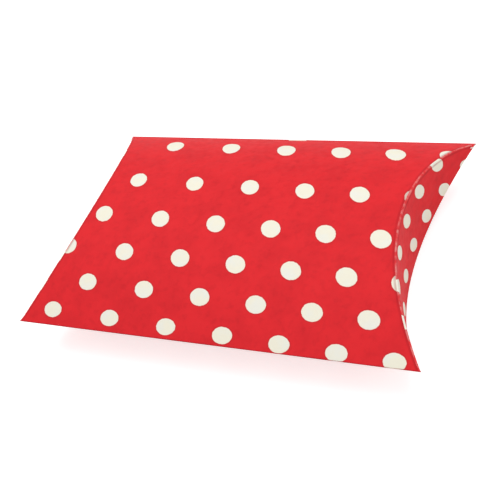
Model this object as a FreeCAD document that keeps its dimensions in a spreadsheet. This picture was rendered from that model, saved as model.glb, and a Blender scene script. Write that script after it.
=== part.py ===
"""Pillow box: two bowed board panels with sharp straight sides and curved flaps that tuck in at both ends.

The box lies on its back panel.  X runs along the straight side folds, Y across them and Z up.  The origin is
under the middle of the box, on the surface that it lies on.  Both panels are parts of cylinders of one radius
that cross at the side folds, and the back panel lies flat along a narrow strip where it carries the box.  Each
end flap is the same curve turned upright, so the fold between panel and flap lies in a plane at 45 degrees.
"""
import FreeCAD, Part
import Sketcher
import math
import os

doc = FreeCAD.newDocument("pillow_box")

# Driving dimensions in millimetres
DIMENSIONS = (
    ("length", "100", "tip to tip along the side folds"),
    ("width", "70", "side fold to side fold"),
    ("rise", "10", "crown of each panel from the middle of the box"),
    ("foot_width", "8", "strip of the back panel that lies flat under the box"),
    ("board", "0.4", "thickness of the board"),
    ("fold_height", "0.6", "half height of the zone bent at a side fold"),
    ("score_width", "1.2", "width of the crushed crease at a flap"),
    ("score_board", "0.3", "thickness of the crushed crease"),
    ("score_setback", "0.3", "end of the crease from the outer face of its flap"),
    ("hinge_gap", "0.3", "room between a panel and the folded edge of its flap"),
    ("flap_gap", "0.25", "room between the outer and the inner flap"),
    ("tip_relief", "3.5", "end of a flap from the side fold"),
    ("free_edge_lift", "0.5", "free edge of the outer flap from the back panel's outer face"),
    ("inner_reach", "3", "free edge of the inner flap above the middle of the box"),
    ("tab_width", "10", "glue tab from the side fold inwards"),
    ("tab_setback", "12", "ends of the glue tab from the tips"),
    ("glue_film", "0.1", "room for the adhesive between panel and tab"),
    ("glue_clearance", "0.01", "adhesive from the board on either side of it"),
    ("glue_margin", "2", "edge of the adhesive from the edges of the tab"),
)
sheet = doc.addObject("Spreadsheet::Sheet", "Dims")
sheet.Label = "driving dimensions"
for row, (alias, value, meaning) in enumerate(DIMENSIONS, start=1):
    sheet.set(f"A{row}", alias)
    sheet.set(f"B{row}", value)
    sheet.set(f"C{row}", meaning)
    sheet.setAlias(f"B{row}", alias)
doc.recompute()

# Sizes that follow from the driving dimensions, as expressions
RADIUS = "((Dims.rise^2 + Dims.width^2 / 4) / (2 * Dims.rise))"
MIDDLE = f"(Dims.rise - {RADIUS} + sqrt({RADIUS}^2 - Dims.foot_width^2 / 4))"
FRONT_AXIS = f"({MIDDLE} + Dims.rise - {RADIUS})"
BACK_AXIS = f"({MIDDLE} - Dims.rise + {RADIUS})"
END_AXIS = f"(Dims.length / 2 - Dims.rise + {RADIUS})"
BACK_SETBACK = "(Dims.board + Dims.flap_gap)"
INNER_FLAP_RADIUS = f"({RADIUS} + {BACK_SETBACK})"
TAB_RADIUS = f"({RADIUS} - Dims.board - Dims.glue_film)"
PAST_CROWN = (f"({MIDDLE} - 2 * Dims.rise)", f"({MIDDLE} + 2 * Dims.rise)")
ABOVE_FOLD = (f"{MIDDLE} + Dims.fold_height", PAST_CROWN[1])
BELOW_FOLD = (PAST_CROWN[0], f"{MIDDLE} - Dims.fold_height")

ABOUT_X = FreeCAD.Rotation(FreeCAD.Vector(1, 0, 0), 90)
ABOUT_Y = FreeCAD.Rotation(FreeCAD.Vector(0, 1, 0), 90)


def bind(thing, sizes, x="0", y="0", z="0"):
    """Tie an object's sizes and place to the driving dimensions."""
    for name, text in sizes.items():
        thing.setExpression(name, text)
    for axis, text in (("x", x), ("y", y), ("z", z)):
        thing.setExpression(f"Placement.Base.{axis}", text)
    return thing


def lying_cylinder(name, radius, axis_height):
    """A cylinder along the box, as wide as a panel's curve."""
    cylinder = doc.addObject("Part::Cylinder", name)
    cylinder.Placement.Rotation = ABOUT_Y
    return bind(cylinder, {"Radius": radius, "Height": "Dims.length"}, x="-Dims.length / 2", z=axis_height)


def standing_cylinder(name, radius):
    """An upright cylinder past the right end, as wide as a flap's curve."""
    cylinder = doc.addObject("Part::Cylinder", name)
    return bind(cylinder, {"Radius": radius, "Height": "4 * Dims.rise"}, x=END_AXIS, z=PAST_CROWN[0])


def slab(name, x, y, z):
    """A plain block between pairs of limits."""
    sizes = {}
    for side, (low, high) in zip(("Length", "Width", "Height"), (x, y, z)):
        sizes[side] = f"({high}) - ({low})"
    return bind(doc.addObject("Part::Box", name), sizes, x=x[0], y=y[0], z=z[0])


def sloped_slab(name, foot, top, z):
    """A block right across the box whose limits in X change from its foot to its top."""
    wedge = doc.addObject("Part::Wedge", name)
    wedge.Placement.Rotation = ABOUT_X
    limits = {"Xmin": foot[0], "Xmax": foot[1], "X2min": top[0], "X2max": top[1], "Ymin": z[0], "Ymax": z[1]}
    for low, high in (("Zmin", "Zmax"), ("Z2min", "Z2max")):
        limits[low] = "-Dims.width"
        limits[high] = "Dims.width"
    return bind(wedge, limits)


def front_curve(name, radius):
    """A cylinder as wide as the front panel's curve."""
    return lying_cylinder(name, radius, FRONT_AXIS)


def back_curve(name, radius):
    """A cylinder as wide as the back panel's curve, with the flat strip that the box lies on."""
    curve = lying_cylinder(name + "_round", radius, BACK_AXIS)
    over_strip = slab(
        name + "_over_strip",
        ("-Dims.length / 2", "Dims.length / 2"),
        ("-Dims.width", "Dims.width"),
        (f"{RADIUS} - ({radius})", PAST_CROWN[1]),
    )
    return combine("Part::Common", name, curve, over_strip)


def sided_slab(name, near, far, upwards):
    """A sloped block on one side of the middle: its limits at the side folds, then those past the crown."""
    if upwards:
        return sloped_slab(name, near, far, ABOVE_FOLD)
    return sloped_slab(name, far, near, BELOW_FOLD)


def combine(kind, name, base, tool):
    """Part::Cut takes the tool from the base, Part::Common keeps what lies in both."""
    result = doc.addObject(kind, name)
    result.Base = base
    result.Tool = tool
    return result


def shell(name, curve, outer, inner):
    """A curved sheet between two radii."""
    outside = curve(name + "_outside", outer)
    inside = curve(name + "_inside", inner)
    return combine("Part::Cut", name, outside, inside)


def mirrored(name, source):
    """The same piece at the left end."""
    twin = doc.addObject("Part::Mirroring", name)
    twin.Source = source
    twin.Normal = FreeCAD.Vector(1, 0, 0)
    return twin


# The two bowed panels
def panel(name, curve, setback, upwards):
    """A bowed panel between the 45 degree planes of its end folds, less the width of the creases."""
    board = shell(name + "_sheet", curve, RADIUS, f"{RADIUS} - Dims.board")
    end = f"Dims.length / 2 - {setback} - Dims.score_width"
    near = (f"-({end} - Dims.fold_height)", f"({end} - Dims.fold_height)")
    far = (f"-({end} - 2 * Dims.rise)", f"({end} - 2 * Dims.rise)")
    return combine("Part::Common", name, board, sided_slab(name + "_limits", near, far, upwards))


front_panel = panel("front_panel", front_curve, "0", True)
back_panel = panel("back_panel", back_curve, BACK_SETBACK, False)


# The crushed creases that the flaps swing on, at the right end
def score(name, curve, setback, upwards, flap_radius):
    """The narrow curved strip between a panel and its flap."""
    board = shell(name + "_sheet", curve, RADIUS, f"{RADIUS} - Dims.score_board")
    end = f"Dims.length / 2 - {setback} - Dims.score_width"
    near = (f"({end} - Dims.fold_height)", "Dims.length / 2")
    far = (f"({end} - 2 * Dims.rise)", "Dims.length / 2")
    strip = combine("Part::Common", name + "_strip", board, sided_slab(name + "_limits", near, far, upwards))
    end_cutter = standing_cylinder(name + "_end", f"{flap_radius} + Dims.score_setback")
    return combine("Part::Cut", name, strip, end_cutter)


right_front_score = score("right_front_score", front_curve, "0", True, RADIUS)
right_back_score = score("right_back_score", back_curve, BACK_SETBACK, False, INNER_FLAP_RADIUS)


# The end flaps, at the right end
def flap(name, radius, front_limit, back_limit, top):
    """An upright curved flap, trimmed by the curves of the two panels, by its ends and by its free edge."""
    board = shell(name + "_sheet", standing_cylinder, f"{radius} + Dims.board", radius)
    half = "(Dims.width / 2 - Dims.tip_relief)"
    ends = slab(
        name + "_ends",
        ("Dims.length / 2 - 2 * Dims.rise", "Dims.length / 2"),
        (f"-{half}", half),
        (PAST_CROWN[0], top),
    )
    trimmed = combine("Part::Common", name + "_trimmed", board, ends)
    below = combine("Part::Common", name + "_below", trimmed, front_curve(name + "_under_front", front_limit))
    return combine("Part::Common", name, below, back_curve(name + "_over_back", back_limit))


FOLDED_EDGE = f"{RADIUS} - Dims.board - Dims.hinge_gap"
FREE_EDGE = f"{RADIUS} - Dims.free_edge_lift"
INNER_TOP = f"{MIDDLE} + Dims.inner_reach"
right_outer_flap = flap("right_outer_flap", RADIUS, FOLDED_EDGE, FREE_EDGE, PAST_CROWN[1])
right_inner_flap = flap("right_inner_flap", INNER_FLAP_RADIUS, FOLDED_EDGE, FOLDED_EDGE, INNER_TOP)

# The glued seam inside the far side
TAB_END = "(Dims.length / 2 - Dims.tab_setback)"
GLUE_END = f"({TAB_END} - Dims.glue_margin)"
tab_sheet = shell("tab_sheet", front_curve, TAB_RADIUS, f"{TAB_RADIUS} - Dims.board")
tab_across = ("Dims.width / 2 - Dims.tab_width", "Dims.width / 2")
tab_limits = slab("tab_limits", (f"-{TAB_END}", TAB_END), tab_across, ABOVE_FOLD)
glue_tab = combine("Part::Common", "glue_tab", tab_sheet, tab_limits)

GLUE_OUTER = f"{TAB_RADIUS} + Dims.glue_film - Dims.glue_clearance"
GLUE_INNER = f"{TAB_RADIUS} + Dims.glue_clearance"
glue_sheet = shell("glue_sheet", front_curve, GLUE_OUTER, GLUE_INNER)
glue_across = (f"{tab_across[0]} + Dims.glue_margin", f"{tab_across[1]} - Dims.glue_margin")
glue_limits = slab("glue_limits", (f"-{GLUE_END}", GLUE_END), glue_across, ABOVE_FOLD)
glue_line = combine("Part::Common", "glue_line", glue_sheet, glue_limits)


# The straight folds along the two sides
def polygon_sketch(body, corners):
    """A closed outline across the box whose corners follow the driving dimensions."""
    sketch = body.newObject("Sketcher::SketchObject", body.Name + "_section")
    plane = next(item for item in body.Origin.OriginFeatures if item.Role == "YZ_Plane")
    sketch.AttachmentSupport = [(plane, "")]
    sketch.MapMode = "FlatFace"
    turn = 2 * math.pi / len(corners)
    starts = [FreeCAD.Vector(math.cos(turn * n), math.sin(turn * n), 0) for n in range(len(corners))]
    for number, start in enumerate(starts):
        sketch.addGeometry(Part.LineSegment(start, starts[(number + 1) % len(starts)]), False)
    for number in range(len(corners)):
        following = (number + 1) % len(corners)
        sketch.addConstraint(Sketcher.Constraint("Coincident", number, 2, following, 1))
    for number, (start, corner) in enumerate(zip(starts, corners)):
        for kind, value, text in (("DistanceX", start.x, corner[0]), ("DistanceY", start.y, corner[1])):
            index = sketch.addConstraint(Sketcher.Constraint(kind, -1, 1, number, 1, value))
            name = f"corner_{number}_{kind[-1]}"
            sketch.renameConstraint(index, name)
            sketch.setExpression("Constraints." + name, text)
    return sketch


def fold_strip(name, corners):
    """A strip of bent board along the whole side, its section given from the middle of the box."""
    body = doc.addObject("PartDesign::Body", name)
    sketch = polygon_sketch(body, corners)
    pad = body.newObject("PartDesign::Pad", name + "_pad")
    pad.Profile = sketch
    pad.SideType = "Symmetric"
    pad.setExpression("Length", "Dims.length")
    return bind(body, {}, z=MIDDLE)


def reach(radius, height):
    """Half the width of a panel's curve at a height above the middle of the box."""
    return f"sqrt(({radius})^2 - ({RADIUS} - Dims.rise + {height})^2)"


TIP = "Dims.width / 2"
UP = "Dims.fold_height"
DOWN = "-Dims.fold_height"
OUTER = reach(RADIUS, UP)
INNER = reach(f"{RADIUS} - Dims.board", UP)
INNER_TIP = reach(f"{RADIUS} - Dims.board", "0")
TAB_OUTER = reach(TAB_RADIUS, UP)
TAB_INNER = reach(f"{TAB_RADIUS} - Dims.board", UP)

side_fold = fold_strip(
    "side_fold",
    (
        (f"-{OUTER}", UP),
        (f"-{TIP}", "0"),
        (f"-{OUTER}", DOWN),
        (f"-{INNER}", DOWN),
        (f"-{INNER_TIP}", "0"),
        (f"-{INNER}", UP),
    ),
)
seam_fold = fold_strip(
    "seam_fold",
    (
        (TAB_OUTER, UP),
        (TAB_INNER, UP),
        (INNER_TIP, "0"),
        (INNER, DOWN),
        (OUTER, DOWN),
        (TIP, "0"),
    ),
)

# The left end, and the files
right_end = (right_front_score, right_back_score, right_outer_flap, right_inner_flap)
left_end = tuple(mirrored(piece.Name.replace("right", "left"), piece) for piece in right_end)
pieces = (front_panel, back_panel, side_fold, seam_fold, glue_tab, glue_line) + right_end + left_end
doc.recompute()

for thing in doc.Objects:
    if {"Invalid", "Error"} & set(thing.State):
        raise RuntimeError(f"{thing.Label} did not build: {thing.State}")
for piece in pieces:
    if piece.Shape.isNull() or not piece.Shape.isValid() or len(piece.Shape.Solids) != 1:
        raise RuntimeError(f"{piece.Label} is not one sound solid")

os.makedirs("parts", exist_ok=True)
for piece in pieces:
    piece.Shape.exportStep(f"parts/{piece.Label}.step")
    box = piece.Shape.BoundBox
    print(f"{piece.Label:20s} {piece.Shape.Volume:9.2f} mm3", box)
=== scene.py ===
"""Looks for a red polka dot pillow box, built round its packed board model.

The file is laid out as an add-on and is run as a script.  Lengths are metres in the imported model's frame:
X runs along the straight side folds, Y across them towards the glued seam, and Z up from the surface under
the box.
"""
import math
from typing import NamedTuple

import bpy
import numpy as np
from bpy.props import FloatProperty, FloatVectorProperty, PointerProperty
from mathutils import Matrix, Vector


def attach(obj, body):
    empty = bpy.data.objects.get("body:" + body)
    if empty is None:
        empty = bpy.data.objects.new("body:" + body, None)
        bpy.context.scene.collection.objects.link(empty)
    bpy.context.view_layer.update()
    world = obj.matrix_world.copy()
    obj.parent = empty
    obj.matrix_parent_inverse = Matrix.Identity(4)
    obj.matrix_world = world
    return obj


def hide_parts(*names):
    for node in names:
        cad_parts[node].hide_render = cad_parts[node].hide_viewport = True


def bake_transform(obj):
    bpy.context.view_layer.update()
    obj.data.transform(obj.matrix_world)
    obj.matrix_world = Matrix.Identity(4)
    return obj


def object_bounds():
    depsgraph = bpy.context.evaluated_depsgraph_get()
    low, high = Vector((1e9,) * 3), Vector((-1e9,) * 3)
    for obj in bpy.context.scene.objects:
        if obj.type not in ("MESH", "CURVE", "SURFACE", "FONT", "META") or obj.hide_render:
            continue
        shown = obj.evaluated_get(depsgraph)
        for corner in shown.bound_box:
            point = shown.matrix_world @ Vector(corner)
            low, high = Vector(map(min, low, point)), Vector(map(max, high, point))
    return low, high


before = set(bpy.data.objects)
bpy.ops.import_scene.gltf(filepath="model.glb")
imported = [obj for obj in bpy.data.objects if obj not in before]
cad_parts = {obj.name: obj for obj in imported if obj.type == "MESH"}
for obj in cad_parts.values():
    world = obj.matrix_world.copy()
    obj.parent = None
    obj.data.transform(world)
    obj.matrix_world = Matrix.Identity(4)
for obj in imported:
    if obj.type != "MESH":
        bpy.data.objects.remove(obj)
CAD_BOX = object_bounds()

bl_info = {
    "name": "Polka dot pillow box",
    "version": (1, 0, 0),
    "blender": (4, 5, 0),
    "location": "View3D > Sidebar > Pillow Box",
    "description": "Dresses a paperboard pillow box: printed panels, folds, tuck-in flaps, seam and stage",
    "category": "Object",
}

MM = 0.001
CAD_LOW, CAD_HIGH = CAD_BOX


def length(name, description, default):
    """A length that shows in the sidebar."""
    return FloatProperty(name=name, description=description, default=default, unit="LENGTH", precision=5)


def colour(name, description, default):
    """A colour that shows in the sidebar."""
    return FloatVectorProperty(
        name=name, description=description, default=default, subtype="COLOR", size=3, min=0.0, max=1.0
    )


def lengths(name, description, default):
    """A row of lengths, given in millimetres, that shows in the sidebar."""
    return FloatVectorProperty(
        name=name, description=description, default=[MM * part for part in default], size=len(default),
        unit="LENGTH", precision=5,
    )


def plain_number(name, description, default, unit="NONE"):
    """A number, with a unit or none, that shows in the sidebar."""
    return FloatProperty(name=name, description=description, default=default, unit=unit)


def plain_numbers(name, description, default):
    """A row of numbers without a unit that shows in the sidebar."""
    return FloatVectorProperty(name=name, description=description, default=default, size=len(default))


class PillowBoxShape(bpy.types.PropertyGroup):
    """Sizes of the folded board."""

    length: length("Length", "Tip to tip along the side folds", CAD_HIGH.x - CAD_LOW.x)
    width: length("Width", "Side fold to side fold", CAD_HIGH.y - CAD_LOW.y)
    rise: length("Rise", "Crown of each panel from the middle of the box", 10 * MM)
    foot_width: length("Foot width", "Strip of the back panel that lies flat", 8 * MM)
    board: length("Board", "Thickness of the board", 0.4 * MM)
    flap_gap: length("Flap gap", "Room between the outer and the inner flap", 0.25 * MM)
    crease_round: length("Crease rounding", "Radius of the curved folds at the flaps", 0.45 * MM)
    side_round: length("Side rounding", "Radius of the straight side folds", 0.2 * MM)
    seam_edge: length("Seam edge", "Cut edge of the front panel above the middle of the box", 0.6 * MM)
    free_edge: length("Free edge", "Outer flap's free edge from the back panel's outer face", 0.45 * MM)
    inner_reach: length("Inner reach", "Inner flap's free edge above the middle of the box", 3 * MM)
    bend_depth: length("Bend depth", "Depth of flap that flexes when the flap swings", 9 * MM)


class PillowBoxPrint(bpy.types.PropertyGroup):
    """The dotted print and the board under it."""

    ink: colour("Ink", "Red of the print", (0.8, 0.026, 0.033))
    deep_ink: colour("Deep ink", "Darker red where the ink lies thick", (0.62, 0.019, 0.026))
    # Besides the dark rim of ink round each dot, this colour is painted shade in the lines beside the curved
    # folds and along the side folds
    dot_rim_and_fold_shade: colour("Crushed ink", "Dark red in the lines pressed beside the folds", (0.36, 0.012, 0.02))
    dot: colour("Dot", "Warm white of the dots", (0.93, 0.89, 0.74))
    cool_dot: colour("Cool dot", "Cooler white in patches of the dots", (0.9, 0.89, 0.8))
    inside: colour("Inside", "Uncoated inside of the board", (0.83, 0.79, 0.71))
    core: colour("Core", "Cut edge of the board", (0.86, 0.83, 0.77))
    glue: colour("Glue", "Dried adhesive", (0.85, 0.79, 0.62))
    dot_radius: length("Dot radius", "Typical radius of a dot, which scales its soft edge", 2.4 * MM)
    row_places: lengths(
        "Row places", "Round the curve from the crown to each row of dots, far row first",
        (26, 6, -7, -17, -26.5, -34),
    )
    row_shifts: lengths(
        "Row shifts", "Shift of each row's dots along the box, against the far row",
        (0, -2, -7, -13, -19.5, -26.5),
    )
    row_closeness: plain_numbers(
        "Row closeness", "How close together each row's dots are along the box, far row first",
        (0.975, 1.0, 1.035, 1.01, 0.98, 0.96),
    )
    column_places: lengths(
        "Column places", "From the middle of the box along the far row to each of its dots",
        (-29, -13.5, 3, 18, 32, 43.5, 57, 69),
    )
    row_slope: plain_number("Row slope", "Slope of the rows against the side folds", -0.03)
    far_dot: lengths("Far dot", "Half width, slant and half height in the far row", (2.8, -1.7, 3.6))
    middle_dot: lengths("Middle dot", "Half width, slant and half height in the next row", (2.45, -0.7, 2.6))
    near_dot: lengths("Near dot", "Half width, slant and half height in the near row", (2.45, 0, 1.9))
    flap_dot: lengths("Flap dot", "Half width, slant and half height on a flap", (2.6, 1.4, 2.0))
    flap_line: length("Flap line", "From the crease down to the first line of dots on a flap", 4.4 * MM)
    flap_line_gap: length("Flap line gap", "From one line of dots on a flap to the next", 9.6 * MM)
    flap_line_end: length("Flap line end", "Round the curve to the end dot of the first line", 21 * MM)
    flap_line_shift: length("Flap line shift", "Shift of each line of dots against the last", 11.4 * MM)
    flap_dot_gap: length("Flap dot gap", "From dot to dot in a line on a flap", 9.75 * MM)


class PillowBoxStage(bpy.types.PropertyGroup):
    """Floor, light and camera."""

    floor: colour("Floor", "Pale floor", (0.8, 0.8, 0.8))
    floor_glow: plain_number("Floor glow", "White that the camera sees over the floor", 0.62)
    sky: plain_number("Sky", "Strength of the even light from all round", 0.5)
    key_power: plain_number("Key power", "Large lamp over the box", 3.3, unit="POWER")
    fill_power: plain_number("Fill power", "Soft lamp to the right of the box", 1.2, unit="POWER")
    lens: plain_number("Lens", "Focal length in millimetres", 61.88)


class Curve:
    """The bow of the panels, worked out from the sizes of the box.

    A place on a panel is given by its distance along the box and round the curve from the crown.
    """

    def __init__(self, shape):
        half = shape.width / 2
        self.radius = (shape.rise**2 + half**2) / (2 * shape.rise)
        self.slope = math.asin(half / self.radius)
        self.half_arc = self.radius * self.slope
        # From the middle of the box to the centre of a panel's curve
        self.drop = self.radius - shape.rise
        # Height of the middle of the box over the floor, on the flat foot of the back panel
        self.middle = shape.rise - self.radius + math.sqrt(self.radius**2 - shape.foot_width**2 / 4)
        # Where the panels stop at the near fold and at the seam, round the curve
        self.fold_start = self.half_arc - shape.side_round / math.tan(self.slope)
        self.seam_start = self.radius * math.acos((self.drop + shape.seam_edge) / self.radius)
        # How far the back panel and its flaps stop short of the front panel's
        self.setback = shape.board + shape.flap_gap

    def across(self, arc):
        """Distance from the middle of the box towards the seam."""
        return self.radius * np.sin(arc / self.radius)

    def height(self, arc):
        """Height of a panel from the middle of the box."""
        return self.radius * np.cos(arc / self.radius) - self.drop


def graded(low, high, count, steps):
    """Places from low to high, close together at both ends.  Limits may be columns of numbers."""
    start = np.atleast_1d(low)[:, None] + steps[None, :]
    stop = np.atleast_1d(high)[:, None] - steps[None, ::-1]
    share = np.linspace(0, 1, count)[None, 1:-1]
    return np.concatenate([start, start[:, -1:] * (1 - share) + stop[:, :1] * share, stop], axis=1)


# Distances of the first rows of points from an edge, then numbers of points along, round and down a piece
EDGE_STEPS = np.array((0, 0.25, 0.5, 0.75, 1.0, 1.3, 1.7, 2.3)) * MM
FINE_STEPS = np.array((0, 0.3, 0.7, 1.2)) * MM
LENGTH_COUNT = 72
PANEL_ARC_COUNT = 60
FLAP_ARC_COUNT = 64
FLAP_DROP_COUNT = 34
CREASE_COUNT = 7
SIDE_BEND_COUNT = 13

# The print, with the degrees of the smooth curves through its rows and columns
ROW_DEGREE = 2
SHIFT_DEGREE = 3
CLOSENESS_DEGREE = 3
COLUMN_DEGREE = 2


def dot_form(column_growth, row_growth, span):
    """A dot's outline in dot numbers, from its half width, slant and half height on the board."""
    wide, slant, high = span
    column_wide = column_growth[0] * wide + column_growth[1] * slant
    column_high = column_growth[1] * high
    row_wide = row_growth[0] * wide + row_growth[1] * slant
    row_high = row_growth[1] * high
    turn = (column_wide * row_high - column_high * row_wide) ** 2
    parts = (
        (row_wide**2 + row_high**2) / turn,
        -(column_wide * row_wide + column_high * row_high) / turn,
        (column_wide**2 + column_high**2) / turn,
    )
    return np.stack(np.broadcast_arrays(*parts), axis=-1)


def front_print(look, along, arc):
    """Column and row number at a place on the front panel, each with its growth along and across."""
    rows = np.arange(len(look.row_places))
    row_count = np.polyfit(look.row_places, rows, ROW_DEGREE)
    shift_curve = np.polyfit(rows, look.row_shifts, SHIFT_DEGREE)
    close_curve = np.polyfit(rows, look.row_closeness, CLOSENESS_DEGREE)
    column_count = np.polyfit(look.column_places, np.arange(len(look.column_places)), COLUMN_DEGREE)

    level = arc - look.row_slope * along
    row = np.polyval(row_count, level)
    row_across = np.polyval(np.polyder(row_count), level)
    row_along = -look.row_slope * row_across

    closeness = np.polyval(close_curve, row)
    unshifted = along * closeness - np.polyval(shift_curve, row)
    by_row = along * np.polyval(np.polyder(close_curve), row) - np.polyval(np.polyder(shift_curve), row)
    column = np.polyval(column_count, unshifted)
    column_growth = np.polyval(np.polyder(column_count), unshifted)
    column_along = column_growth * (closeness + by_row * row_along)
    column_across = column_growth * by_row * row_across
    return (column, column_along, column_across), (row, row_along, row_across)


def panel_print(look, curve, along, arc):
    """Dot numbers over the sheet, which goes on from the front panel round the near fold to the back.

    Dots sit on whole numbers.  The second result is the outline of the dots in those numbers.
    """
    near = -curve.half_arc
    behind = arc < near
    mirrored = np.where(behind, 2 * near - arc, arc)
    panel = front_print(look, along, mirrored)
    fold = front_print(look, along, near)
    numbers, growths = [], []
    for (number, by_along, by_across), (fold_number, fold_along, _) in zip(panel, fold):
        numbers.append(np.where(behind, 2 * fold_number - number, number))
        growths.append((np.where(behind, 2 * fold_along - by_along, by_along), by_across))
    front_row = panel[1][0]
    last_row = len(look.row_places) - 1
    sizes = zip(look.far_dot, look.middle_dot, look.near_dot)
    span = [np.interp(front_row, (0, 1, last_row), size) for size in sizes]
    return np.stack(numbers, axis=-1), dot_form(*growths, span)


def flap_print(look, depth, arc):
    """Dot numbers over a flap, from the depth below the crown's crease and the distance round the curve."""
    column = (depth - look.flap_line) / look.flap_line_gap
    row = (look.flap_line_end + look.flap_line_shift * column - arc) / look.flap_dot_gap
    column_growth = (1 / look.flap_line_gap, 0)
    row_growth = (look.flap_line_shift / look.flap_line_gap / look.flap_dot_gap, -1 / look.flap_dot_gap)
    form = dot_form(column_growth, row_growth, look.flap_dot) * np.ones_like(column)[..., None]
    return np.stack([column, row], axis=-1), form


# Node helpers, with the sockets of the mix node that take and give colours
MIX_INPUTS = (6, 7)
MIX_OUTPUT = 2


def node(tree, kind, inputs=(), **settings):
    """Add a node, set its own values and link or set its inputs."""
    made = tree.nodes.new(kind)
    for name, value in settings.items():
        setattr(made, name, value)
    for place, value in dict(inputs).items():
        if isinstance(value, bpy.types.NodeSocket):
            tree.links.new(value, made.inputs[place])
        else:
            made.inputs[place].default_value = value
    return made


def maths(tree, operation, *values):
    """The result of one sum on numbers or sockets."""
    return node(tree, "ShaderNodeMath", enumerate(values), operation=operation).outputs[0]


def smooth_range(tree, value, low, high, to_low=0.0, to_high=1.0):
    """A value that goes smoothly from to_low, where the input is low, to to_high, where it is high."""
    inputs = {"Value": value, "From Min": low, "From Max": high, "To Min": to_low, "To Max": to_high}
    return node(tree, "ShaderNodeMapRange", inputs, interpolation_type="SMOOTHSTEP").outputs[0]


def mix_colour(tree, share, first, second):
    """The first colour, with a share of the second over it."""
    made = node(tree, "ShaderNodeMix", {"Factor": share}, data_type="RGBA")
    for place, value in zip(MIX_INPUTS, (first, second)):
        if isinstance(value, bpy.types.NodeSocket):
            tree.links.new(value, made.inputs[place])
        else:
            made.inputs[place].default_value = (*value, 1.0)
    return made.outputs[MIX_OUTPUT]


class Noise(NamedTuple):
    """Random clouds: cells in a metre, and how much fine detail they have."""

    scale: float
    detail: float = 3.0
    roughness: float = 0.55


class Patches(NamedTuple):
    """Soft patches of noise: the band from low to high becomes a value from to_low to to_high."""

    noise: Noise
    low: float
    high: float
    to_low: float = 0.0
    to_high: float = 1.0


def noise_at(tree, place, kind):
    """Noise of one kind at a place."""
    inputs = {"Vector": place, "Scale": kind.scale, "Detail": kind.detail, "Roughness": kind.roughness}
    return node(tree, "ShaderNodeTexNoise", inputs).outputs["Fac"]


def patches_at(tree, place, kind):
    """Patches of one kind at a place."""
    value = noise_at(tree, place, kind.noise)
    return smooth_range(tree, value, kind.low, kind.high, kind.to_low, kind.to_high)


def new_material(name):
    """A material with its node tree, its shader and the place on the object."""
    material = bpy.data.materials.new(name)
    material.use_nodes = True
    tree = material.node_tree
    shader = tree.nodes["Principled BSDF"]
    place = node(tree, "ShaderNodeTexCoord").outputs["Object"]
    return material, tree, shader, place


# Paper grain
BUMP_STRETCH = (0.35, 1.0, 1.0)
BUMP_GRAIN = Noise(2600.0, 4.0, 0.65)
BUMP_CLOUD = Noise(420.0, 2.0)
GRAIN_SHARE = 0.6
CLOUD_SHARE = 0.4
BUMP_DEPTH = 0.04 * MM


def fibre_bump(tree, shader, place, strength, extra=None):
    """Fine paper grain, with longer fibres along the box."""
    stretched = node(tree, "ShaderNodeMapping", {"Vector": place, "Scale": BUMP_STRETCH}).outputs[0]
    grain = maths(tree, "MULTIPLY", noise_at(tree, stretched, BUMP_GRAIN), GRAIN_SHARE)
    cloud = maths(tree, "MULTIPLY", noise_at(tree, place, BUMP_CLOUD), CLOUD_SHARE)
    height = maths(tree, "ADD", grain, cloud)
    if extra is not None:
        height = maths(tree, "ADD", height, extra)
    bump = node(tree, "ShaderNodeBump", {"Height": height, "Strength": strength, "Distance": BUMP_DEPTH})
    tree.links.new(bump.outputs[0], shader.inputs["Normal"])


# Printed face
DOT_EDGE = Noise(1500.0)
DOT_EDGE_WANDER = 0.28 * MM
DOT_EDGE_BLUR = 0.09 * MM
DOT_RIM = 0.5 * MM
RIM_SHARE = 0.35
INK_BLOTCHES = Patches(Noise(170.0, 5.0, 0.6), 0.36, 0.68)
INK_SPECKS = Patches(Noise(620.0), 0.48, 0.72)
BLOTCH_SHARE = 0.4
SPECK_SHARE = 0.3
DOT_TINTS = Patches(Noise(260.0), 0.4, 0.7)
# Painted shade: a dark band a little way off the curved folds, which also sinks a shallow groove in the bump
GROOVE_SHADE_NEAR = (0.3 * MM, 0.55 * MM)
GROOVE_SHADE_FAR = (1.2 * MM, 0.7 * MM)
GROOVE_SHADE_PATCHES = Patches(Noise(240.0), 0.2, 0.6, 0.1, 0.45)
PRESSED_HEIGHT = -1.2
# Painted shade: a dark line right along the straight side folds
SIDE_SHADE_LINE = (0.4 * MM, 0.05 * MM)
SIDE_SHADE_PATCHES = Patches(Noise(300.0), 0.3, 0.6, 0.25, 0.7)
# A pale line on the curved folds: rubbed board, and also a painted highlight on the fold
RUBBED_HIGHLIGHT_LINE = (0.42 * MM, 0.1 * MM)
RUBBED_HIGHLIGHT_PATCHES = Patches(Noise(700.0), 0.38, 0.66, 0.02, 0.26)
INK_ROUGHNESS = Patches(Noise(600.0), 0.3, 0.7, 0.58, 0.68)
DOT_ROUGHER = 0.08
RUBBED_ROUGHER = 0.25
INK_SPECULAR = 0.08
INK_BUMP = 0.16


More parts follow.
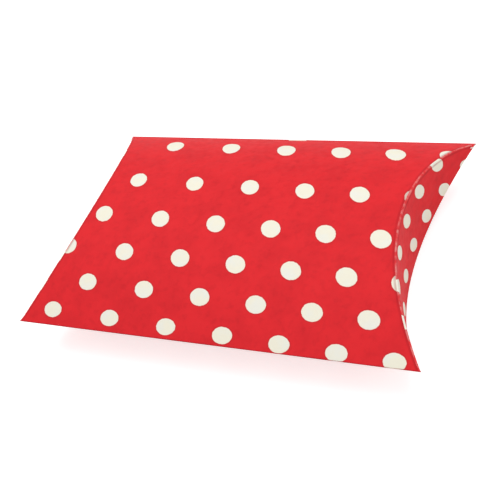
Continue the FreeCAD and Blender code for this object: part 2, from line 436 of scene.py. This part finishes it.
def dotted_board(look):
    """Satin red ink with white dots, rubbed a little on the folds with a painted highlight there, and
    painted shade in dark pressed lines beside them and along the side folds.
    """
    material, tree, shader, place = new_material("dotted_print")
    numbers = node(tree, "ShaderNodeUVMap", uv_map="print").outputs[0]
    form = node(tree, "ShaderNodeAttribute", attribute_name="dot_form").outputs["Vector"]
    gaps = node(tree, "ShaderNodeAttribute", attribute_name="fold_gap").outputs["Vector"]
    crease_gap, side_gap, _ = node(tree, "ShaderNodeSeparateXYZ", {0: gaps}).outputs

    # From the nearest dot's centre, in dot numbers
    whole = node(tree, "ShaderNodeVectorMath", {0: numbers, 1: (0.5, 0.5, 0)}, operation="ADD").outputs[0]
    whole = node(tree, "ShaderNodeVectorMath", {0: whole}, operation="FLOOR").outputs[0]
    apart = node(tree, "ShaderNodeVectorMath", {0: numbers, 1: whole}, operation="SUBTRACT").outputs[0]
    column, row, _ = node(tree, "ShaderNodeSeparateXYZ", {0: apart}).outputs

    # From the dot's edge, as a length: below zero inside the dot
    both = maths(tree, "MULTIPLY", maths(tree, "MULTIPLY", column, row), 2.0)
    squares = node(tree, "ShaderNodeCombineXYZ", {
        0: maths(tree, "MULTIPLY", column, column), 1: both, 2: maths(tree, "MULTIPLY", row, row),
    }).outputs[0]
    product = node(tree, "ShaderNodeVectorMath", {0: squares, 1: form}, operation="DOT_PRODUCT")
    reach = maths(tree, "SQRT", product.outputs["Value"])
    away = maths(tree, "MULTIPLY_ADD", reach, look.dot_radius, -look.dot_radius)
    wander = maths(tree, "SUBTRACT", noise_at(tree, place, DOT_EDGE), 0.5)
    away = maths(tree, "ADD", away, maths(tree, "MULTIPLY", wander, DOT_EDGE_WANDER))
    dot = smooth_range(tree, away, DOT_EDGE_BLUR, -DOT_EDGE_BLUR)
    rim = maths(tree, "SUBTRACT", smooth_range(tree, away, DOT_RIM, 0.0), dot)

    blotches = maths(tree, "MULTIPLY", patches_at(tree, place, INK_BLOTCHES), BLOTCH_SHARE)
    deep = maths(tree, "MULTIPLY_ADD", patches_at(tree, place, INK_SPECKS), SPECK_SHARE, blotches)
    ink = mix_colour(tree, deep, look.ink, look.deep_ink)
    ink = mix_colour(tree, maths(tree, "MULTIPLY", rim, RIM_SHARE), ink, look.dot_rim_and_fold_shade)
    white = mix_colour(tree, patches_at(tree, place, DOT_TINTS), look.dot, look.cool_dot)
    printed = mix_colour(tree, dot, ink, white)

    # Painted shade in a band beside the curved folds, with a shallow groove in the bump further down
    groove_shade_near = smooth_range(tree, crease_gap, *GROOVE_SHADE_NEAR)
    pressed_groove_and_shade = maths(tree, "MULTIPLY", groove_shade_near, smooth_range(tree, crease_gap, *GROOVE_SHADE_FAR))
    pressed_groove_and_shade = maths(tree, "MULTIPLY", pressed_groove_and_shade, patches_at(tree, place, GROOVE_SHADE_PATCHES))
    # Painted shade along the straight side folds
    side_fold_shade = smooth_range(tree, side_gap, *SIDE_SHADE_LINE)
    side_fold_shade = maths(tree, "MULTIPLY", side_fold_shade, patches_at(tree, place, SIDE_SHADE_PATCHES))
    # Both dark lines go over the print as painted shade
    printed = mix_colour(tree, maths(tree, "MAXIMUM", pressed_groove_and_shade, side_fold_shade), printed, look.dot_rim_and_fold_shade)
    # Pale line on the curved folds: rubbed wear and a painted highlight
    rubbed_and_highlight = smooth_range(tree, crease_gap, *RUBBED_HIGHLIGHT_LINE)
    rubbed_and_highlight = maths(tree, "MULTIPLY", rubbed_and_highlight, patches_at(tree, place, RUBBED_HIGHLIGHT_PATCHES))
    printed = mix_colour(tree, rubbed_and_highlight, printed, look.core)

    tree.links.new(printed, shader.inputs["Base Color"])
    roughness = maths(tree, "MULTIPLY_ADD", dot, DOT_ROUGHER, patches_at(tree, place, INK_ROUGHNESS))
    roughness = maths(tree, "MULTIPLY_ADD", rubbed_and_highlight, RUBBED_ROUGHER, roughness)
    tree.links.new(roughness, shader.inputs["Roughness"])
    shader.inputs["Specular IOR Level"].default_value = INK_SPECULAR
    fibre_bump(tree, shader, place, INK_BUMP, maths(tree, "MULTIPLY", pressed_groove_and_shade, PRESSED_HEIGHT))
    return material


# Plain faces, cut edges and glue
FIBRE_STRETCH = (0.25, 1.0, 1.0)
FIBRES = Patches(Noise(1100.0, 5.0, 0.7), 0.45, 0.75)
CLOUDS = Patches(Noise(160.0), 0.3, 0.75)
FIBRE_SHARE = 0.4
PALE_CLOUD_SHARE = 0.3
BOARD_GREY = 0.86
BOARD_ROUGHNESS = (0.82, 0.95)
BOARD_SPECULAR = 0.2
BOARD_BUMP = 0.35
CUT_LAYERS = Patches(Noise(3200.0, 2.0), 0.35, 0.7)
CUT_GREY = 0.8
CUT_ROUGHNESS = 0.9
CUT_SPECULAR = 0.15
CUT_BUMP = 0.4
GLUE_STREAKS = Patches(Noise(350.0, 4.0), 0.35, 0.7)
GLUE_DEEP = 0.8
GLUE_ROUGHNESS = (0.3, 0.5)
GLUE_BUMP = 0.2


def darker(tint, share):
    """A share of a colour's light."""
    return tuple(share * part for part in tint)


def uncoated_board(name, tint):
    """Pale board with visible fibres, for the inside and the glue tab."""
    material, tree, shader, place = new_material(name)
    stretched = node(tree, "ShaderNodeMapping", {"Vector": place, "Scale": FIBRE_STRETCH}).outputs[0]
    fibres = patches_at(tree, stretched, FIBRES)
    clouds = maths(tree, "MULTIPLY", patches_at(tree, place, CLOUDS), PALE_CLOUD_SHARE)
    share = maths(tree, "MULTIPLY_ADD", fibres, FIBRE_SHARE, clouds)
    tree.links.new(mix_colour(tree, share, tint, darker(tint, BOARD_GREY)), shader.inputs["Base Color"])
    tree.links.new(smooth_range(tree, fibres, 0.0, 1.0, *BOARD_ROUGHNESS), shader.inputs["Roughness"])
    shader.inputs["Specular IOR Level"].default_value = BOARD_SPECULAR
    fibre_bump(tree, shader, place, BOARD_BUMP)
    return material


def cut_edge(name, tint):
    """The layered cut through the board."""
    material, tree, shader, place = new_material(name)
    layers = patches_at(tree, place, CUT_LAYERS)
    tree.links.new(mix_colour(tree, layers, tint, darker(tint, CUT_GREY)), shader.inputs["Base Color"])
    shader.inputs["Roughness"].default_value = CUT_ROUGHNESS
    shader.inputs["Specular IOR Level"].default_value = CUT_SPECULAR
    fibre_bump(tree, shader, place, CUT_BUMP)
    return material


def dried_glue(name, tint):
    """Thin dried adhesive, a little uneven."""
    material, tree, shader, place = new_material(name)
    streaks = patches_at(tree, place, GLUE_STREAKS)
    tree.links.new(mix_colour(tree, streaks, tint, darker(tint, GLUE_DEEP)), shader.inputs["Base Color"])
    tree.links.new(smooth_range(tree, streaks, 0.0, 1.0, *GLUE_ROUGHNESS), shader.inputs["Roughness"])
    fibre_bump(tree, shader, place, GLUE_BUMP)
    return material


def board_materials(look):
    """Finishes of the printed face, the plain face and the cut edge, made once and shared by the pieces."""
    made = bpy.data.materials
    if "dotted_print" not in made:
        dotted_board(look)
        uncoated_board("inside_board", look.inside)
        cut_edge("board_core", look.core)
    return [made[name] for name in ("dotted_print", "inside_board", "board_core")]


# Board meshes
SHARP_ANGLE = math.radians(38)
# A crease's rounding takes this share of the height above the middle at most, so it closes up at the tips
CREASE_SHARE = 0.6


def board_piece(name, outer, inner, place, form, fold_gap, look):
    """A closed sheet of board from grids of points on its printed and its plain face."""
    rows, columns = outer.shape[:2]
    count = rows * columns
    index = np.arange(count).reshape(rows, columns)
    corners = np.stack([index[:-1, :-1], index[:-1, 1:], index[1:, 1:], index[1:, :-1]], axis=-1)
    corners = corners.reshape(-1, 4)
    rim = np.concatenate([index[0, :], index[1:, -1], index[-1, -2::-1], index[-2:0:-1, 0]])
    after = np.roll(rim, -1)
    sides = np.stack([after, rim, rim + count, after + count], axis=-1)
    faces = np.concatenate([corners, corners[:, ::-1] + count, sides])
    points = np.concatenate([outer.reshape(-1, 3), inner.reshape(-1, 3)])
    centre = corners[len(corners) // 2]
    lean = np.cross(points[centre[2]] - points[centre[0]], points[centre[3]] - points[centre[1]])
    if lean @ (points[centre[0]] - points[centre[0] + count]) < 0:
        faces = faces[:, ::-1]

    mesh = bpy.data.meshes.new(name)
    mesh.from_pydata(points.tolist(), [], faces.tolist())
    for finish in board_materials(look):
        mesh.materials.append(finish)
    kinds = np.repeat([0, 1, 2], [len(corners), len(corners), len(sides)])
    mesh.polygons.foreach_set("material_index", kinds.astype(np.int32))
    loops = np.empty(len(mesh.loops), np.int32)
    mesh.loops.foreach_get("vertex_index", loops)
    layer = mesh.uv_layers.new(name="print")
    layer.data.foreach_set("uv", place.reshape(-1, 2)[loops % count].astype(np.float32).ravel())
    to_crease, to_side = fold_gap
    gaps = np.stack([to_crease, to_side, 0 * to_side], axis=-1)
    for attribute, values in (("dot_form", form), ("fold_gap", gaps)):
        kept = mesh.attributes.new(attribute, "FLOAT_VECTOR", "POINT")
        kept.data.foreach_set("vector", np.tile(values.reshape(-1, 3), (2, 1)).astype(np.float32).ravel())
    mesh.shade_smooth()
    mesh.set_sharp_from_angle(angle=SHARP_ANGLE)
    mesh.validate()
    piece = bpy.data.objects.new(name, mesh)
    bpy.context.scene.collection.objects.link(piece)
    return piece


def crease_radius(shape, height):
    """The rounding of a curved fold, which closes up towards the tips."""
    return np.minimum(shape.crease_round, CREASE_SHARE * height)


def bowed_panel(name, shape, look, curve, side, setback):
    """A bowed panel, side 1 for the front and -1 for the back, from the near fold to the seam."""
    arc = graded(-curve.fold_start, curve.seam_start, PANEL_ARC_COUNT, EDGE_STEPS)[0]
    across, height = curve.across(arc), curve.height(arc)
    fold = crease_radius(shape, height)
    end = shape.length / 2 - setback - height - fold
    along = graded(-end, end, LENGTH_COUNT, EDGE_STEPS)
    grid = np.ones_like(along)
    rise = np.maximum(curve.middle + side * height, 0)
    outer = np.stack([along, across[:, None] * grid, rise[:, None] * grid], axis=-1)
    lean = across / curve.radius
    facing = np.stack([0 * arc, lean, side * np.sqrt(1 - lean**2)], axis=-1)
    inner = outer - shape.board * facing[:, None, :]
    sheet = arc if side > 0 else -2 * curve.half_arc - arc
    place, form = panel_print(look, curve, along, sheet[:, None] * grid)
    to_crease = end[:, None] - np.abs(along) + fold[:, None]
    to_side = (curve.half_arc - np.abs(arc))[:, None] * grid
    return board_piece(name, outer, inner, place, form, (to_crease, to_side), look)


class PILLOWBOX_OT_bowed_panels(bpy.types.Operator):
    """Make the two bowed panels with their print"""

    bl_idname = "pillowbox.bowed_panels"
    bl_label = "Bowed Panels"

    def execute(self, context):
        shape, look = context.scene.pillow_shape, context.scene.pillow_print
        curve = Curve(shape)
        front = bowed_panel("bowed_front", shape, look, curve, 1, 0.0)
        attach(front, "carton")
        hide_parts("front_panel")
        back = bowed_panel("bowed_back", shape, look, curve, -1, curve.setback)
        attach(back, "carton")
        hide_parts("back_panel")
        return {"FINISHED"}


# The side folds stop this much short of the creases
STRIP_TIP_GAP = 0.05 * MM
# Added to their distance from the creases, because they show less of the creases' wear, painted highlight
# and painted shade
STRIP_CREASE_GAP = 1 * MM
# Least inner radius of a side fold
INNER_BEND = 0.02 * MM
# The seam's bend ends under the front panel, this clear of its plain face
SEAM_CLEARANCE = 0.1 * MM
# It turns up to this angle, and is set in by this share of its radius
SEAM_TURN = math.pi / 2 - 0.35
SEAM_INSET = 0.15


def folded_strip(name, shape, look, curve, points, hidden, sheet, setbacks):
    """A strip of bent board along one side, from its section's printed and hidden points."""
    end = shape.length / 2 - np.abs(points[:, 1]) - setbacks - STRIP_TIP_GAP
    along = graded(-end, end, LENGTH_COUNT, FINE_STEPS)
    grid = np.ones_like(along)

    def lay(section):
        """The points of a section, repeated along the box."""
        level = np.stack([section[:, 0], section[:, 1] + curve.middle], axis=-1)
        return np.concatenate([along[..., None], level[:, None, :] * grid[..., None]], axis=-1)

    place, form = panel_print(look, curve, along, sheet[:, None] * grid)
    to_crease = end[:, None] - np.abs(along) + STRIP_CREASE_GAP
    to_side = np.abs(points[:, 1])[:, None] * grid
    return board_piece(name, lay(points), lay(hidden), place, form, (to_crease, to_side), look)


class PILLOWBOX_OT_side_folds(bpy.types.Operator):
    """Make the straight folds along the two sides"""

    bl_idname = "pillowbox.side_folds"
    bl_label = "Side Folds"

    def execute(self, context):
        shape, look = context.scene.pillow_shape, context.scene.pillow_print
        curve = Curve(shape)
        half, slope, bend = shape.width / 2, curve.slope, shape.side_round
        reach = bend / math.tan(slope)
        core = max(bend - shape.board, INNER_BEND)
        share = np.linspace(0, 1, SIDE_BEND_COUNT)
        from_fold = reach - 2 * reach * share

        turn = np.linspace(math.pi / 2 + slope, 3 * math.pi / 2 - slope, SIDE_BEND_COUNT)
        way = np.stack([np.cos(turn), np.sin(turn)], axis=-1)
        centre = np.array((-half + bend / math.sin(slope), 0))
        near = folded_strip(
            "near_side_bend", shape, look, curve, centre + bend * way, centre + core * way,
            -curve.half_arc + from_fold, curve.setback * np.clip(2 * share - 1, 0, 1),
        )
        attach(near, "carton")
        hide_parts("side_fold")

        foot = np.array((curve.across(curve.seam_start), -shape.seam_edge))
        tip = np.array((half - bend, 0))
        inside = curve.radius - shape.board - SEAM_CLEARANCE
        under = np.array((math.sqrt(inside**2 - (curve.drop + shape.seam_edge) ** 2), shape.seam_edge))
        lean_low = np.array((math.sin(slope), -math.cos(slope)))
        lean_high = np.array((math.sin(slope), math.cos(slope)))
        turn = np.linspace(math.atan2(lean_low[1], lean_low[0]), SEAM_TURN, SIDE_BEND_COUNT - 2)
        way = np.stack([np.cos(turn), np.sin(turn)], axis=-1)
        outline = np.concatenate([[foot], tip + bend * way - (SEAM_INSET * bend, 0), [under]])
        hidden = np.concatenate([
            [foot - shape.board * lean_low],
            tip + core * way - (shape.board, 0),
            [under - shape.board * lean_high],
        ])
        seam = folded_strip(
            "seam_side_bend", shape, look, curve, outline, hidden,
            -3 * curve.half_arc + from_fold, curve.setback * np.clip(1 - 2 * share, 0, 1),
        )
        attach(seam, "carton")
        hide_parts("seam_fold")
        return {"FINISHED"}


# The outer flap's free edge is lifted by this share of the height at most, which counts near the tips
FREE_EDGE_SHARE = 0.7
# Room beside the inner flap, from its free edge to the front panel and from its ends to the side folds
INNER_EDGE_GAP = 0.7 * MM
INNER_SIDE_GAP = 2.2 * MM


def outer_free_edge(shape, height):
    """Level of the outer flap's free edge from the middle of the box, where its crease has a height."""
    return -height + np.minimum(shape.free_edge, FREE_EDGE_SHARE * height)


def inner_free_edge(shape, height):
    """The same for the inner flap, seen from its own panel: a little past the middle of the box."""
    return -np.minimum(shape.inner_reach, height - INNER_EDGE_GAP)


def tuck_flap(name, shape, look, curve, end, side, setback, limit, free_edge):
    """A curved flap that hangs from a panel: end 1 is the right one, side 1 the front panel's."""
    arc = graded(-limit, limit, FLAP_ARC_COUNT, FINE_STEPS)[0]
    across, height = curve.across(arc), curve.height(arc)
    fold = crease_radius(shape, height)
    face = shape.length / 2 - setback - height
    turn = np.linspace(0, math.pi / 2, CREASE_COUNT)
    curl_x = (face - fold)[:, None] + fold[:, None] * np.sin(turn)[None, :]
    curl_z = (height - fold)[:, None] + fold[:, None] * np.cos(turn)[None, :]
    hang = np.linspace(0, 1, FLAP_DROP_COUNT)[None, 1:]
    drop = (height - fold)[:, None] * (1 - hang) + free_edge(shape, height)[:, None] * hang
    along = np.concatenate([curl_x, face[:, None] * np.ones_like(drop)], axis=1)
    level = np.concatenate([curl_z, drop], axis=1)

    # The printed face turns over the crease, from the panel's slope to the flap's
    lean = (across / curve.radius)[:, None]
    flat = np.sqrt(1 - lean**2)
    bent = np.concatenate([turn, np.full(drop.shape[1], math.pi / 2)])[None, :]
    sideways = lean * (np.cos(bent) - np.sin(bent))
    facing = np.stack([flat * np.sin(bent), sideways, flat * np.cos(bent)], axis=-1)
    facing /= np.linalg.norm(facing, axis=-1, keepdims=True)

    grid = np.ones_like(along)
    outer = np.stack([along, across[:, None] * grid, level], axis=-1)
    inner = outer - shape.board * facing
    place, form = flap_print(look, shape.rise - setback - level, arc[:, None] * grid)
    to_crease = np.abs(height[:, None] - level)
    to_side = (curve.half_arc - np.abs(arc))[:, None] * grid

    # Turned to its own end and panel, lifted to the middle of the box and kept off the floor
    turned = np.array((end, 1, side))
    lift = np.array((0, 0, curve.middle))
    outer = outer * turned + lift
    inner = inner * turned + lift
    outer[..., 2] = np.maximum(outer[..., 2], 0)
    return board_piece(name, outer, inner, place, form, (to_crease, to_side), look)


class PILLOWBOX_OT_tuck_flaps(bpy.types.Operator):
    """Make the outer and inner tuck-in flaps at both ends"""

    bl_idname = "pillowbox.tuck_flaps"
    bl_label = "Tuck-in Flaps"

    def execute(self, context):
        shape, look = context.scene.pillow_shape, context.scene.pillow_print
        curve = Curve(shape)
        inner_limit = curve.fold_start - INNER_SIDE_GAP
        flaps = (
            ("outer", "front", 1, 0.0, curve.fold_start, outer_free_edge),
            ("inner", "back", -1, curve.setback, inner_limit, inner_free_edge),
        )
        for end_name, end in (("right", 1), ("left", -1)):
            for kind, panel, side, setback, limit, edge in flaps:
                name = f"{end_name}_{kind}"
                flap = tuck_flap(f"{name}_tuck", shape, look, curve, end, side, setback, limit, edge)
                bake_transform(flap)
                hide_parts(f"{name}_flap", f"{end_name}_{panel}_score")
        return {"FINISHED"}


class PILLOWBOX_OT_glued_seam(bpy.types.Operator):
    """Finish the glue tab and its line of adhesive"""

    bl_idname = "pillowbox.glued_seam"
    bl_label = "Glued Seam"

    def execute(self, context):
        look = context.scene.pillow_print
        finishes = {
            "glue_tab": uncoated_board("tab_board", look.inside),
            "glue_line": dried_glue("dried_glue", look.glue),
        }
        for name, finish in finishes.items():
            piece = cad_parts[name]
            piece.data.materials.clear()
            piece.data.materials.append(finish)
        return {"FINISHED"}


# Stage, in metres apart from the sensor's width in millimetres
FLOOR_HALF = 3.0
FLOOR_SHADES = Patches(Noise(3.0), 0.3, 0.7)
FLOOR_DIM = 0.99
FLOOR_ROUGHNESS = 0.95
KEY_PLACE = (-0.15, 0.2, 0.72)
KEY_SIZE = 0.7
FILL_PLACE = (0.6, -0.3, 0.35)
FILL_SIZE = 0.6
SENSOR_WIDTH = 36.0
CLIP_START = 0.01
CLIP_END = 20.0
# The camera's place is measured from the middle of the box
CAMERA_PLACE = (85.52 * MM, -131.81 * MM, 144.8 * MM)
CAMERA_FORWARD = (-0.3982, 0.6020, -0.6921)
CAMERA_UP = (-0.0703, 0.7322, 0.6774)
WHITE = (1, 1, 1, 1)


def seen_white(tree):
    """1 for rays from the camera, and for reflected or refracted ones, which see the plain background."""
    path = node(tree, "ShaderNodeLightPath").outputs
    mirrored = maths(tree, "MAXIMUM", path["Is Glossy Ray"], path["Is Transmission Ray"])
    return maths(tree, "MAXIMUM", path["Is Camera Ray"], mirrored)


def pale_floor(stage):
    """A matt floor that looks white to the camera and keeps the box's shadow."""
    material, tree, shader, place = new_material("pale_floor")
    shade = patches_at(tree, place, FLOOR_SHADES)
    dim = darker(stage.floor, FLOOR_DIM)
    tree.links.new(mix_colour(tree, shade, stage.floor, dim), shader.inputs["Base Color"])
    shader.inputs["Roughness"].default_value = FLOOR_ROUGHNESS
    shader.inputs["Specular IOR Level"].default_value = 0.0
    shader.inputs["Emission Color"].default_value = WHITE
    glow = maths(tree, "MULTIPLY", seen_white(tree), stage.floor_glow)
    tree.links.new(glow, shader.inputs["Emission Strength"])
    return material


def soft_lamp(name, place, target, size, power):
    """A square lamp that points at a target."""
    lamp = bpy.data.lights.new(name, "AREA")
    lamp.shape = "SQUARE"
    lamp.size = size
    lamp.energy = power
    holder = bpy.data.objects.new(name, lamp)
    holder.location = place
    holder.rotation_mode = "QUATERNION"
    holder.rotation_quaternion = (Vector(target) - Vector(place)).to_track_quat("-Z", "Y")
    bpy.context.scene.collection.objects.link(holder)


class PILLOWBOX_OT_stage(bpy.types.Operator):
    """Set out the floor, the soft light and the camera"""

    bl_idname = "pillowbox.stage"
    bl_label = "Stage"

    def execute(self, context):
        scene = context.scene
        stage = scene.pillow_stage
        curve = Curve(scene.pillow_shape)

        mesh = bpy.data.meshes.new("floor")
        ring = [(-1, -1), (1, -1), (1, 1), (-1, 1)]
        mesh.from_pydata([(FLOOR_HALF * x, FLOOR_HALF * y, 0) for x, y in ring], [], [(0, 1, 2, 3)])
        mesh.materials.append(pale_floor(stage))
        floor = bpy.data.objects.new("floor", mesh)
        scene.collection.objects.link(floor)

        world = bpy.data.worlds.new("even_light")
        scene.world = world
        world.use_nodes = True
        tree = world.node_tree
        light = tree.nodes["Background"]
        light.inputs["Color"].default_value = WHITE
        strength = smooth_range(tree, seen_white(tree), 0.0, 1.0, stage.sky, 1.0)
        tree.links.new(strength, light.inputs["Strength"])

        box_middle = (0, 0, curve.middle)
        soft_lamp("key_lamp", KEY_PLACE, box_middle, KEY_SIZE, stage.key_power)
        soft_lamp("fill_lamp", FILL_PLACE, box_middle, FILL_SIZE, stage.fill_power)

        view = bpy.data.cameras.new("camera")
        view.lens = stage.lens
        view.sensor_width = SENSOR_WIDTH
        view.sensor_fit = "HORIZONTAL"
        view.clip_start = CLIP_START
        view.clip_end = CLIP_END
        camera = bpy.data.objects.new("camera", view)
        forward = Vector(CAMERA_FORWARD).normalized()
        right = forward.cross(Vector(CAMERA_UP)).normalized()
        upward = right.cross(forward)
        turn = Matrix((right, upward, -forward)).transposed()
        camera.matrix_world = Matrix.Translation(Vector(CAMERA_PLACE) + Vector(box_middle)) @ turn.to_4x4()
        scene.collection.objects.link(camera)
        scene.camera = camera
        scene.view_settings.view_transform = "Standard"
        return {"FINISHED"}


class PILLOWBOX_PT_sidebar(bpy.types.Panel):
    """The box's pieces, in the order they are made"""

    bl_idname = "PILLOWBOX_PT_sidebar"
    bl_label = "Pillow Box"
    bl_space_type = "VIEW_3D"
    bl_region_type = "UI"
    bl_category = "Pillow Box"

    def draw(self, context):
        layout = self.layout
        for operator in OPERATORS:
            layout.operator(operator.bl_idname)
        for group in GROUPS:
            settings = getattr(context.scene, group)
            box = layout.box()
            for name in settings.__annotations__:
                box.prop(settings, name)


OPERATORS = (
    PILLOWBOX_OT_bowed_panels,
    PILLOWBOX_OT_side_folds,
    PILLOWBOX_OT_tuck_flaps,
    PILLOWBOX_OT_glued_seam,
    PILLOWBOX_OT_stage,
)
GROUPS = {
    "pillow_shape": PillowBoxShape,
    "pillow_print": PillowBoxPrint,
    "pillow_stage": PillowBoxStage,
}


def register():
    """Add the settings, the operators and the panel."""
    for kind in (*GROUPS.values(), *OPERATORS, PILLOWBOX_PT_sidebar):
        bpy.utils.register_class(kind)
    for name, kind in GROUPS.items():
        setattr(bpy.types.Scene, name, PointerProperty(type=kind))


def unregister():
    """Take them all out again."""
    for name in GROUPS:
        delattr(bpy.types.Scene, name)
    for kind in (PILLOWBOX_PT_sidebar, *reversed(OPERATORS), *reversed(GROUPS.values())):
        bpy.utils.unregister_class(kind)


def main():
    """Make every piece and the stage."""
    register()
    bpy.ops.pillowbox.bowed_panels()
    bpy.ops.pillowbox.side_folds()
    bpy.ops.pillowbox.tuck_flaps()
    bpy.ops.pillowbox.glued_seam()
    bpy.ops.pillowbox.stage()


if __name__ == "__main__":
    main()
